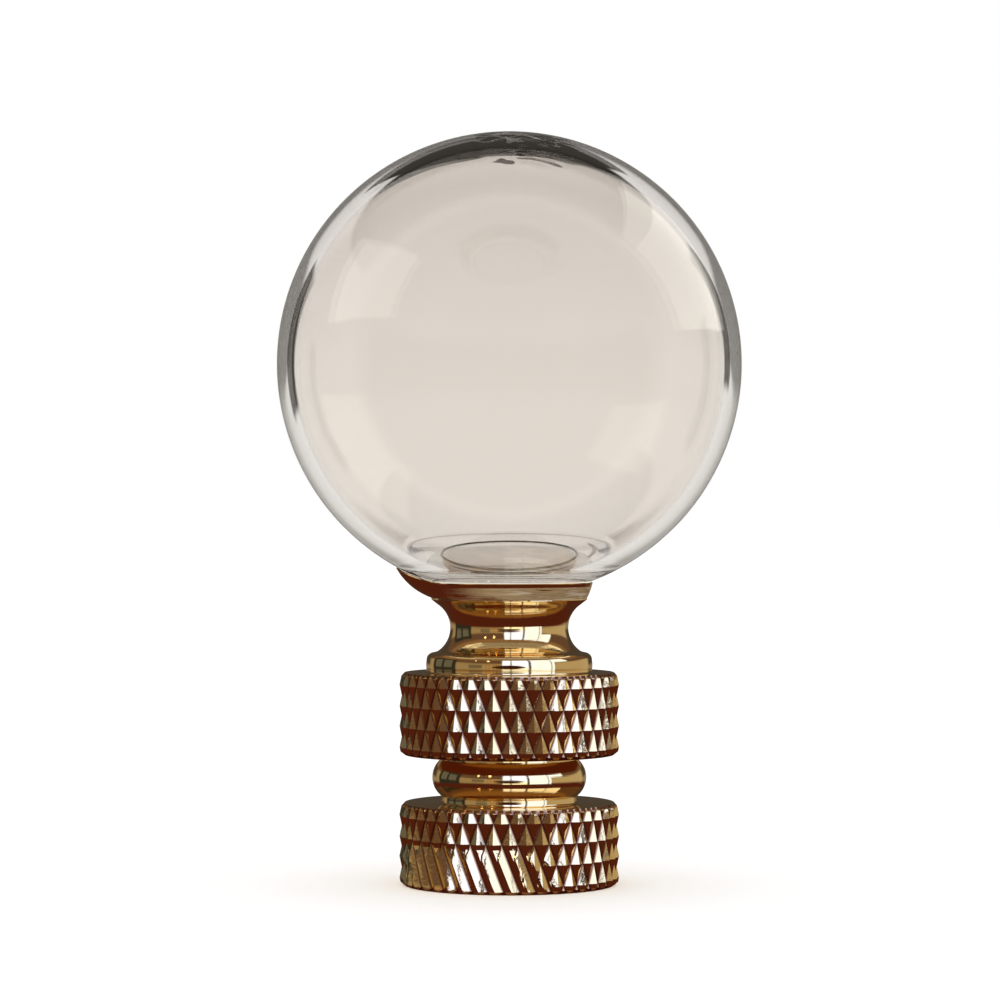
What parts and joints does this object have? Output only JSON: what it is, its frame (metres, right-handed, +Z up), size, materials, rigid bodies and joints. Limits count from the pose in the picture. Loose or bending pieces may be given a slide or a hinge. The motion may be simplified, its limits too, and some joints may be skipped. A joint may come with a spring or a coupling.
{
  "type": "lamp shade finial",
  "caption": "Clear glass ball in the cup of a turned brass base with knurled rings, a beaded waist and a threaded hole below.",
  "frame": {"origin": "centre of the base's underside, on the plane the finial stands on", "axes": "+Z up along the turned axis, from the base's hole towards the ball"},
  "size_m": [0.03, 0.03, 0.0486],
  "materials": {
    "glass": "clear, faintly smoky, polished",
    "brass": "polished, with dark red-brown knurl grooves"
  },
  "bodies": {
    "root": {"glass_ball": "glass", "brass_base": "brass"}
  },
  "joints": []
}
